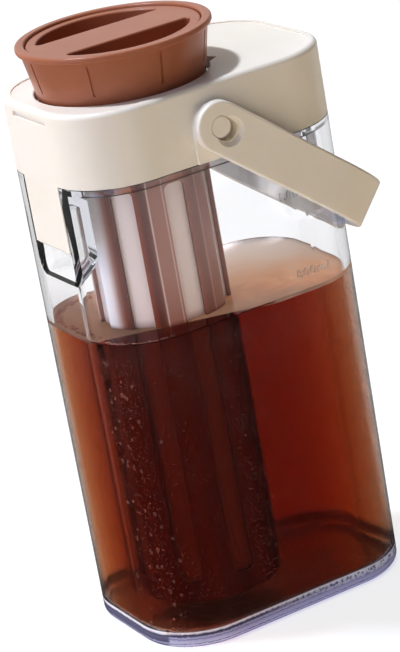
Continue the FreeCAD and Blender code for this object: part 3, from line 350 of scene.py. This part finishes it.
def make_cage_plastic():
    """Smoky brown translucent polypropylene: mauve where a rib is flat, a painted red brown glow beside each
    window for light running out of the wall, a fine painted highlight line between the two, and stained
    darker under the coffee."""
    made, tree, out = new_material("smoky_polypropylene")
    place, x, y, z = places(tree)
    # step goes from 0 in the middle of a rib, past a window, to 1 in the middle of the next rib. A window
    # faces the front. The whole turn in start keeps the angle above nought.
    start = math.radians(90 + 360) + WINDOW_PITCH / 2
    turned = add(tree, "Math", {0: round_filter(tree, x, y), 1: start}, operation="ADD")
    past = add(tree, "Math", {0: turned, 1: WINDOW_PITCH}, operation="MODULO")
    step = add(tree, "Math", {0: past, 1: WINDOW_PITCH}, operation="DIVIDE")
    # Painted light: pale highlight lines on each flat face and a light orange one at each window's edge, and
    # a painted red brown glow beside each window.
    ribs_with_painted_light = add(tree, "ValToRGB", {"Fac": step}, [
        (0.00, "#94604E"), (0.22, "#986654"), (0.24, "#C09C8C"), (0.26, "#94604E"), (0.30, "#A87666"),
        (0.70, "#B06840"), (0.73, "#7A2C10"), (0.84, "#541806"), (0.91, "#5E2C1E"), (0.955, "#7C4A3A"),
        (0.97, "#CCAA9C"), (1.00, "#94604E"),
    ])
    # Towards the left end each rib is painted white for a highlight of the left lamp, fading into the
    # painted red brown beside the first window. Over the right and the back each rib is a plainer, more even
    # brown.
    whitest, darkest, left_until, even_from = (math.radians(angle) for angle in (299, 327, 333, 385))
    highlight_run = add(tree, "MapRange", {"Value": turned, "From Min": whitest, "From Max": darkest})
    painted_left_highlight = add(tree, "ValToRGB", {"Fac": highlight_run}, [
        (0.00, "#FFFCFA"), (0.45, "#E4D2CA"), (0.72, "#94604E"), (0.86, "#6A2812"), (1.00, "#5A1C08"),
    ])
    at_left = add(tree, "Math", {0: turned, 1: left_until}, operation="LESS_THAN")
    beyond = add(tree, "Math", {0: turned, 1: even_from}, operation="GREATER_THAN")
    more_even = add(tree, "Math", {0: beyond, 1: 0.6}, operation="MULTIPLY")
    dry = add(tree, "Mix", {FACTOR: at_left, COLOUR_A: ribs_with_painted_light, COLOUR_B: painted_left_highlight}, data_type="RGBA")
    dry = add(tree, "Mix", {FACTOR: more_even, COLOUR_A: dry, COLOUR_B: "#946454"}, data_type="RGBA")
    wet = add(tree, "ValToRGB", {"Fac": step}, [(0.0, "#5C1E12"), (0.5, "#4A120A"), (1.0, "#662410")])
    below = add(tree, "MapRange", {
        "Value": z, "From Min": COFFEE_LEVEL + 0.5 * MM, "From Max": COFFEE_LEVEL - 1.5 * MM,
    })
    shade = add(tree, "Mix", {FACTOR: below, COLOUR_A: dry, COLOUR_B: wet}, data_type="RGBA")
    clearness = add(tree, "MapRange", {"Value": below, "To Min": 0.18, "To Max": 0.1})
    wave = add(tree, "TexNoise", {"Vector": place, "Scale": 1 / (7 * MM), "Detail": 1.0})
    bump = add(tree, "Bump", {"Height": wave, "Strength": 1.0, "Distance": RIPPLE_DEPTH})
    skin = add(tree, "BsdfPrincipled", {
        "Base Color": shade, "Transmission Weight": clearness, "Normal": bump,
        "Roughness": 0.22, "IOR": 1.45, "Sheen Weight": 0.35, "Sheen Roughness": 0.3,
        "Subsurface Weight": 0.2, "Subsurface Radius": (1, 0.5, 0.35), "Subsurface Scale": 2.0 * MM,
    })
    feed(tree, out, {"Surface": skin})
    return made


def make_net():
    """Woven nylon net, drawn about three times as coarse as the real 0.15 mm weave so that it shows."""
    made, tree, out = new_material("nylon_filter_net")
    place, x, y, z = places(tree)
    thread = 0.5 * MM
    threads_round = round(2 * math.pi * NET_RADIUS / thread)
    up = add(tree, "Math", {0: z, 1: 2 * math.pi / thread}, operation="MULTIPLY")
    across = add(tree, "Math", {0: round_filter(tree, x, y), 1: threads_round}, operation="MULTIPLY")
    up = add(tree, "Math", {0: up}, operation="SINE")
    across = add(tree, "Math", {0: across}, operation="SINE")
    weave = add(tree, "Math", {0: up, 1: across}, operation="MULTIPLY")
    level = add(tree, "MapRange", {"Value": weave, "From Min": -1.0, "From Max": 1.0})
    stained = add(tree, "MapRange", {
        "Value": z, "From Min": COFFEE_LEVEL + 2 * MM, "From Max": COFFEE_LEVEL - 3 * MM,
    })
    dry = add(tree, "ValToRGB", {"Fac": level}, [(0.0, "#DCC0B0"), (1.0, "#F0DACC")])
    wet = add(tree, "ValToRGB", {"Fac": level}, [(0.0, "#6A2212"), (1.0, "#8E3820")])
    shade = add(tree, "Mix", {FACTOR: stained, COLOUR_A: dry, COLOUR_B: wet}, data_type="RGBA")
    bump = add(tree, "Bump", {"Height": level, "Strength": 0.5, "Distance": 0.05 * MM})
    skin = add(tree, "BsdfPrincipled", {
        "Base Color": shade, "Normal": bump, "Roughness": 0.6, "IOR": 1.53, "Sheen Weight": 0.2,
    })
    glow = add(tree, "BsdfTranslucent", {"Color": shade})
    cloth = add(tree, "MixShader", {0: 0.2, 1: skin, 2: glow})
    holes = add(tree, "MapRange", {"Value": level, "To Min": 0.2, "To Max": 0.03})
    both = add(tree, "MixShader", {0: holes, 1: cloth, 2: add(tree, "BsdfTransparent")})
    feed(tree, out, {"Surface": both})
    return made


FINISH = {
    "container": copolyester,
    "lid_shell": cream_abs,
    "lid_liner": liner_clear,
    "lid_gasket": silicone,
    "front_pivot_pin": cream_abs,
    "rear_pivot_pin": cream_abs,
    "handle": cream_abs,
    "filter_collar": brown_pp,
    "filter_cage": make_cage_plastic(),
    "filter_mesh": make_net(),
    "collar_gasket": silicone,
    "grip_cap": brown_pp,
    "cap_gasket": silicone,
}
for name, finish in FINISH.items():
    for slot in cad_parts[name].material_slots:
        slot.material = finish


# ---------------------------------------------------------------- new pieces


def clear_selection():
    """Nothing selected and no active object, in object mode."""
    if bpy.context.object and bpy.context.object.mode != "OBJECT":
        bpy.ops.object.mode_set(mode="OBJECT")
    bpy.ops.object.select_all(action="DESELECT")


def pick(obj, domain, wanted):
    """In edit mode, selects the vertices, edges or faces for which wanted(element) is true."""
    bpy.ops.mesh.select_mode(type=domain)
    bpy.ops.mesh.select_all(action="DESELECT")
    shape = bmesh.from_edit_mesh(obj.data)
    group = {"VERT": shape.verts, "EDGE": shape.edges, "FACE": shape.faces}[domain]
    for element in group:
        element.select_set(bool(wanted(element)))
    shape.select_flush_mode()
    bmesh.update_edit_mesh(obj.data)


def settle(obj, name, material, body, degrees=35):
    """Names a finished piece, puts its place in its mesh, smooths it, and lets it ride on its body."""
    clear_selection()
    obj.select_set(True)
    bpy.context.view_layer.objects.active = obj
    bpy.ops.object.transform_apply(location=True, rotation=True, scale=True)
    bpy.ops.object.shade_smooth_by_angle(angle=math.radians(degrees))
    obj.name = obj.data.name = name
    obj.data.materials.clear()
    obj.data.materials.append(material)
    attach(obj, body)


# Where a liquid creeps up the wall: the width and drop of each step inwards from its edge.
CREEP = ((0.5 * MM, 0.55 * MM), (0.6 * MM, 0.3 * MM), (0.8 * MM, 0.15 * MM))


def fill_jug(name, low, high, reach, material, foot_round=0.0, open_front=False):
    """A body as wide as the jug's inside. reach is how far its sides go into the wall, so that no air shows
    between them. Its top creeps up the wall in a thin hollow rim."""
    half_x = wall_at(high, JUG_HALF_X) - JUG_WALL + reach
    half_y = wall_at(high, JUG_HALF_Y) - JUG_WALL + reach
    tall = high - low
    same_height, drawn_in = 0.1 * MM, 6 * MM
    clear_selection()
    bpy.ops.mesh.primitive_cube_add(
        size=1, location=(0, 0, (high + low) / 2), scale=(2 * half_x, 2 * half_y, tall),
    )
    obj = bpy.context.object
    bpy.ops.object.transform_apply(location=True, rotation=True, scale=True)
    bpy.ops.object.mode_set(mode="EDIT")
    pick(obj, "EDGE", lambda e: abs(e.verts[0].co.z - e.verts[1].co.z) > 0.5 * tall)
    bpy.ops.mesh.bevel(offset=JUG_CORNER - JUG_WALL + reach, segments=24, profile=0.5)
    if foot_round:
        pick(obj, "EDGE", lambda e: all(v.co.z < low + same_height for v in e.verts))
        bpy.ops.mesh.bevel(offset=foot_round, segments=6, profile=0.5)
        # The draft: the foot is a little smaller.
        pick(obj, "VERT", lambda v: v.co.z < low + drawn_in)
        shrink = JUG_DRAFT * high / JUG_SHOULDER
        bpy.ops.transform.resize(value=(1 - shrink / half_x, 1 - shrink / half_y, 1))
    pick(obj, "FACE", lambda f: f.normal.z > 0.9 and f.calc_center_median().z > high - same_height)
    for width, drop in CREEP:
        bpy.ops.mesh.inset(thickness=width, depth=-drop)
    if open_front:
        # No film lies in front of the filter: its edge runs just before the cage, from the left end to the
        # front.
        bpy.ops.mesh.select_all(action="SELECT")
        bpy.ops.mesh.bisect(
            plane_co=(-46 * MM, -14 * MM, 0), plane_no=(-0.34, -0.94, 0), clear_outer=True, use_fill=True,
        )
    bpy.ops.object.mode_set(mode="OBJECT")
    settle(obj, name, material, "jug")


def make_mark(name, words, x, z, width):
    """A graduation, raised from the front wall in its own plastic. x and z are its lower left corner."""
    letter, thickness, rounding, proud = 4.2 * MM, 0.30 * MM, 0.06 * MM, 0.1 * MM
    clear_selection()
    bpy.ops.object.text_add(location=(0, 0, 0))
    obj = bpy.context.object
    text = obj.data
    text.body = words
    text.size, text.extrude, text.bevel_depth = letter, thickness / 2, rounding
    text.resolution_u, text.bevel_resolution = 3, 1
    text.space_character = 1.15
    bpy.ops.object.convert(target="MESH")
    obj.scale = (width / obj.dimensions.x, 1, 1)
    obj.rotation_euler = (math.radians(90), 0, 0)
    obj.location = (x, -wall_at(z, JUG_HALF_Y) - proud, z)
    settle(obj, name, copolyester, "jug", degrees=40)


def wall_spot(run, height):
    """A place on the jug's outside: run is measured from the middle of the front, leftwards and round the
    corner. Gives the point and the turn of the wall there from facing the front."""
    half_x, half_y = wall_at(height, JUG_HALF_X), wall_at(height, JUG_HALF_Y)
    straight, bend = half_x - JUG_CORNER, JUG_CORNER * math.pi / 2
    if run < straight:
        return Vector((-run, -half_y, height)), 0.0
    if run < straight + bend:
        turn = (run - straight) / JUG_CORNER
        x = -straight - JUG_CORNER * math.sin(turn)
        y = -half_y + JUG_CORNER - JUG_CORNER * math.cos(turn)
        return Vector((x, y, height)), turn
    return Vector((-half_x, -half_y + JUG_CORNER + run - straight - bend, height)), math.pi / 2


DOME_FOOT = 0.12  # a dome is cut this share of its height above its middle


def scatter_domes(name, spots, material):
    """Copies one small dome to many spots, each with a point, a turn and three sizes, as one piece."""
    clear_selection()
    bpy.ops.mesh.primitive_uv_sphere_add(segments=7, ring_count=5, radius=1)
    first = bpy.context.object
    bpy.ops.object.mode_set(mode="EDIT")
    bpy.ops.mesh.select_all(action="SELECT")
    bpy.ops.mesh.bisect(plane_co=(0, 0, DOME_FOOT), plane_no=(0, 0, 1), clear_inner=True, use_fill=True)
    bpy.ops.object.mode_set(mode="OBJECT")
    copies = []
    for point, turn, sizes in spots:
        copy = first.copy()
        copy.data = first.data.copy()
        bpy.context.scene.collection.objects.link(copy)
        copy.location, copy.rotation_euler, copy.scale = point, turn, sizes
        copies.append(copy)
    bpy.data.objects.remove(first)
    clear_selection()
    for copy in copies:
        copy.select_set(True)
    bpy.context.view_layer.objects.active = copies[0]
    bpy.ops.object.join()
    settle(bpy.context.object, name, material, "jug", degrees=60)


def make_drops():
    """Condensation: a fine mist of drops on the cold front and left walls, and some larger ones, each with
    its foot sunk in the wall."""
    dice = random.Random(7)
    flat = 0.55  # a drop's height as a share of its half width
    sunk, smallest = 0.02 * MM, 0.12 * MM
    spots = []
    for number in range(4400):
        big = number % 75 == 0
        # Two in five gather in two bands, and the rest lie anywhere. The draws are in millimetres, and all
        # of them are made for each drop.
        bands = (dice.gauss(54, 5), dice.gauss(10, 5))
        anywhere = (dice.uniform(-38, 66), dice.uniform(-38, 66), dice.uniform(-38, 66))
        run = (bands + anywhere)[number % 5] * MM
        height = dice.uniform(7, 112) * MM
        size = (dice.uniform(0.45, 0.8) if big else dice.uniform(0.11, 0.24)) * MM
        point, turn = wall_spot(run, height)
        if turn > 1.0:
            # The box of the whole object ends at the lid, so drops on the end wall stay low.
            size = min(size, 1.7 * (point.x + JUG_HALF_X))
            if size < smallest:
                continue
        out = Vector((-math.sin(turn), -math.cos(turn), 0))
        sizes = (size, size * dice.uniform(1.0, 1.5 if big else 1.15), size * flat)
        spots.append((point - out * (DOME_FOOT * size * flat + sunk), (math.radians(90), 0, -turn), sizes))
    scatter_domes("condensation_drops", spots, water)


def make_foam():
    """A line of foam bubbles on the coffee along the wall at the left end."""
    dice = random.Random(3)
    core_x, core_y = JUG_HALF_X - JUG_CORNER, JUG_HALF_Y - JUG_CORNER
    hollow = COFFEE_LEVEL - sum(drop for width, drop in CREEP)
    spots = []
    for number in range(170):
        reach = JUG_CORNER - JUG_WALL - (2.0 + 2.6 * dice.random() ** 2) * MM
        side, bend = dice.choice((-1, 1)), dice.uniform(-25, 90)
        if bend < 0:
            x, y = -core_x - reach, core_y * dice.uniform(-1, 1)
        else:
            x = -core_x - reach * math.cos(math.radians(bend))
            y = side * (core_y + reach * math.sin(math.radians(bend)))
        size = dice.uniform(0.22, 0.75) * MM
        spots.append(((x, y, hollow - 0.1 * size), (0, 0, 0), (size, size, size * 0.7)))
    scatter_domes("foam_bubbles", spots, water)


fill_jug("coffee", JUG_FLOOR - 0.3 * MM, COFFEE_LEVEL, 0.3 * MM, coffee_body, COFFEE_ROUND)
film_low, film_high = COFFEE_LEVEL - 1.25 * MM, COFFEE_LEVEL + 0.03 * MM
fill_jug("coffee_film", film_low, film_high, 0.35 * MM, oil_film, open_front=True)
make_mark("mark_800ml", "800ml", 19.5 * MM, 122.3 * MM, 13.1 * MM)
make_mark("mark_1_0L", "1.0L", 17.0 * MM, 151.5 * MM, 7.0 * MM)
make_drops()
make_foam()

# ---------------------------------------------------------------- stage, lamps, camera


def make_floor():
    """A pale floor, white to the eye and through clear plastic, that keeps a soft shadow."""
    clear_selection()
    bpy.ops.mesh.primitive_plane_add(size=16, location=(0, 0, 0))
    floor = bpy.context.object
    floor.name = "studio_floor"
    made, tree, out = new_material("pale_paper")
    # Distances from the jug's centre.
    beside_foot, past_foot = 70 * MM, 110 * MM
    room_starts, room_full, room_far = 360 * MM, 440 * MM, 600 * MM
    place, x, y, z = places(tree)
    away = add(tree, "VectorMath", {0: place}, operation="LENGTH")
    path = add(tree, "LightPath")
    # It throws a warm light up on the object, less at the right, and a cool bright one beside the foot.
    to_right = add(tree, "MapRange", {"Value": x, "From Min": 50 * MM, "From Max": 400 * MM})
    warm = add(tree, "ValToRGB", {"Fac": to_right}, [(0.0, "#E8D2AE"), (0.3, "#E0C8A4"), (1.0, "#9A866A")])
    beside = add(tree, "MapRange", {
        "Value": away, "From Min": beside_foot, "From Max": past_foot, "To Min": 0.9, "To Max": 0.0,
    })
    cool = add(tree, "Emission", {"Color": "#DCE2FF", "Strength": beside})
    bounce = add(tree, "AddShader", {0: add(tree, "BsdfDiffuse", {"Color": warm}), 1: cool})
    # Painted shadow: under the foot the paper is painted dark brown, for the little light that gets through
    # the coffee and the clear floor of the jug, with a painted lavender and white ring round it for the glow
    # of the thick floor.
    lit = add(tree, "MapRange", {"Value": from_core(tree, place), "From Min": 0.0, "From Max": 30 * MM})
    painted_foot_shadow = add(tree, "ValToRGB", {"Fac": lit}, [
        (0.70, "#1C0C08"), (0.72, "#C9C9EC"), (0.81, "#F4F4FC"), (0.84, "#FFFFFF"),
    ])
    glow = add(tree, "Emission", {"Color": painted_foot_shadow, "Strength": 0.8})
    seen = add(tree, "AddShader", {0: glow, 1: add(tree, "BsdfDiffuse", {"Color": (0.25, 0.25, 0.25, 1)})})
    # What a shiny face or a clear edge mirrors is the dimmer floor of the room, darkest in front.
    aside = add(tree, "Math", {0: y, 1: 0.5}, operation="MULTIPLY")
    slant = add(tree, "Math", {0: x, 1: aside}, operation="ADD")
    at_back = add(tree, "MapRange", {"Value": y, "From Min": -10 * MM, "From Max": 20 * MM})
    at_back_right = add(tree, "MapRange", {"Value": slant, "From Min": -30 * MM, "From Max": 20 * MM})
    behind = add(tree, "Math", {0: at_back, 1: at_back_right}, operation="MULTIPLY")
    beyond = add(tree, "MapRange", {"Value": away, "From Min": room_starts, "From Max": room_full})
    bright = add(tree, "Math", {0: behind, 1: beyond}, operation="MAXIMUM")
    through_clear = add(tree, "MapRange", {"Value": bright, "To Min": 0.02, "To Max": 0.85})
    off_shiny = add(tree, "MapRange", {
        "Value": away, "From Min": room_starts, "From Max": room_far, "To Min": 0.02, "To Max": 0.5,
    })
    clear_ray = path.outputs["Is Transmission Ray"]
    dim = add(tree, "Mix", {"Factor": clear_ray, "A": off_shiny, "B": through_clear}, data_type="FLOAT")
    mirrored = add(tree, "Emission", {"Strength": dim})
    diffuse_ray = path.outputs["Is Diffuse Ray"]
    in_mirror = add(tree, "Math", {0: path.outputs["Glossy Depth"], 1: 0.5}, operation="GREATER_THAN")
    only_mirror = add(tree, "Math", {0: in_mirror, 1: diffuse_ray}, operation="SUBTRACT")
    first = add(tree, "MixShader", {0: diffuse_ray, 1: seen, 2: bounce})
    both = add(tree, "MixShader", {0: only_mirror, 1: first, 2: mirrored})
    feed(tree, out, {"Surface": both})
    floor.data.materials.append(made)


def make_surroundings():
    """A pale room. It lights with a soft warm level, less from the right, and mirrors show it dark in front
    and bright behind."""
    world = bpy.data.worlds.new("studio")
    bpy.context.scene.world = world
    world.use_nodes = True
    tree = world.node_tree
    tree.nodes.clear()
    out = add(tree, "OutputWorld")
    x, y, z = add(tree, "SeparateXYZ", {0: add(tree, "TexCoord").outputs["Generated"]}).outputs
    path = add(tree, "LightPath")
    behind = add(tree, "MapRange", {
        "Value": y, "From Min": -0.45, "From Max": 0.25, "To Min": 0.05, "To Max": 1.0,
    })
    right = add(tree, "MapRange", {
        "Value": x, "From Min": 0.1, "From Max": 0.7, "To Min": 1.0, "To Max": 0.1,
    })
    left = add(tree, "MapRange", {"Value": x, "From Min": -0.45, "From Max": -0.95})
    not_right = add(tree, "Math", {0: behind, 1: right}, operation="MULTIPLY")
    mirror = add(tree, "Math", {0: not_right, 1: left}, operation="MAXIMUM")
    # The soft light on dull faces: less from overhead, more from far behind.
    overhead = add(tree, "MapRange", {
        "Value": z, "From Min": 0.4, "From Max": 0.9, "To Min": 0.75, "To Max": 0.35,
    })
    lift = add(tree, "MapRange", {
        "Value": y, "From Min": 0.15, "From Max": 0.6, "To Min": 1.0, "To Max": 1.5,
    })
    level = add(tree, "Math", {0: mirror, 1: overhead}, operation="MULTIPLY")
    level = add(tree, "Math", {0: level, 1: lift}, operation="MULTIPLY")
    soft = add(tree, "Background", {"Color": "#FFF2E2", "Strength": level})
    # What mirrors show.
    dim = add(tree, "MapRange", {"Value": mirror, "To Min": 0.35, "To Max": 0.75})
    far_back = add(tree, "MapRange", {"Value": y, "From Min": 0.4, "From Max": 0.75})
    shown = add(tree, "Math", {0: dim, 1: far_back}, operation="MAXIMUM")
    in_mirror = add(tree, "Background", {"Strength": shown})
    # What comes through the jug's clear walls: dim overhead, and brighter where it lights the inside.
    above = add(tree, "MapRange", {
        "Value": z, "From Min": 0.35, "From Max": 0.75, "To Min": 1.0, "To Max": 0.25,
    })
    inside = add(tree, "Math", {0: path.outputs["Diffuse Depth"], 1: 0.5}, operation="GREATER_THAN")
    lights_inside = add(tree, "Math", {0: inside, 1: 2.4}, operation="MULTIPLY")
    through = add(tree, "Math", {0: above, 1: lights_inside}, operation="MAXIMUM")
    in_glass = add(tree, "Background", {"Strength": through})
    mirrored = add(tree, "Math", {0: path.outputs["Glossy Depth"], 1: 0.5}, operation="GREATER_THAN")
    one = add(tree, "MixShader", {0: mirrored, 1: in_glass, 2: in_mirror})
    two = add(tree, "MixShader", {0: path.outputs["Is Diffuse Ray"], 1: one, 2: soft})
    to_eye = add(tree, "Background", {"Strength": 1.0})
    three = add(tree, "MixShader", {0: path.outputs["Is Camera Ray"], 1: two, 2: to_eye})
    feed(tree, out, {"Surface": three})


def hang(light, spot, at):
    """Hangs a lamp at a spot, aimed at a point."""
    lamp = bpy.data.objects.new(light.name, light)
    lamp.location = spot
    lamp.rotation_euler = (Vector(at) - lamp.location).to_track_quat("-Z", "Y").to_euler()
    bpy.context.scene.collection.objects.link(lamp)


def make_lamps():
    """A key from the left and behind, and a tall soft box at the left end."""
    key = bpy.data.lights.new("key", "SUN")
    key.color = srgb("#EEF4FF")[:3]
    key.energy, key.angle = 3.15, math.radians(6)
    hang(key, spot=(-0.30, 0.24, 0.92), at=(0, 0, 0))
    box = bpy.data.lights.new("left_box", "AREA")
    box.shape, box.size, box.size_y = "RECTANGLE", 0.5, 0.8
    box.color = srgb("#A8C8FF")[:3]
    box.energy = 3.7
    hang(box, spot=(-0.98, -0.16, 0.42), at=(0, 0, 0.11))


def make_camera():
    """The camera looks down at the front left corner, and leans."""
    around, down, lean = math.radians(26.870), math.radians(19.998), math.radians(-10.195)
    spot = Vector((-432.29, -848.72, 449.20)) * MM
    back = Vector((-math.sin(around) * math.cos(down), -math.cos(around) * math.cos(down), math.sin(down)))
    right = Vector((math.cos(around), -math.sin(around), 0))
    up = back.cross(right)
    side = right * math.cos(lean) + up * math.sin(lean)
    top = up * math.cos(lean) - right * math.sin(lean)
    lens = bpy.data.cameras.new("camera")
    lens.sensor_width, lens.lens = 36.0, 156.11
    lens.clip_start, lens.clip_end = 0.05, 50.0
    camera = bpy.data.objects.new("camera", lens)
    camera.matrix_world = Matrix.Translation(spot) @ Matrix((side, top, back)).transposed().to_4x4()
    bpy.context.scene.collection.objects.link(camera)
    bpy.context.scene.camera = camera


make_floor()
make_surroundings()
make_lamps()
make_camera()
bpy.context.scene.view_settings.view_transform = "Standard"
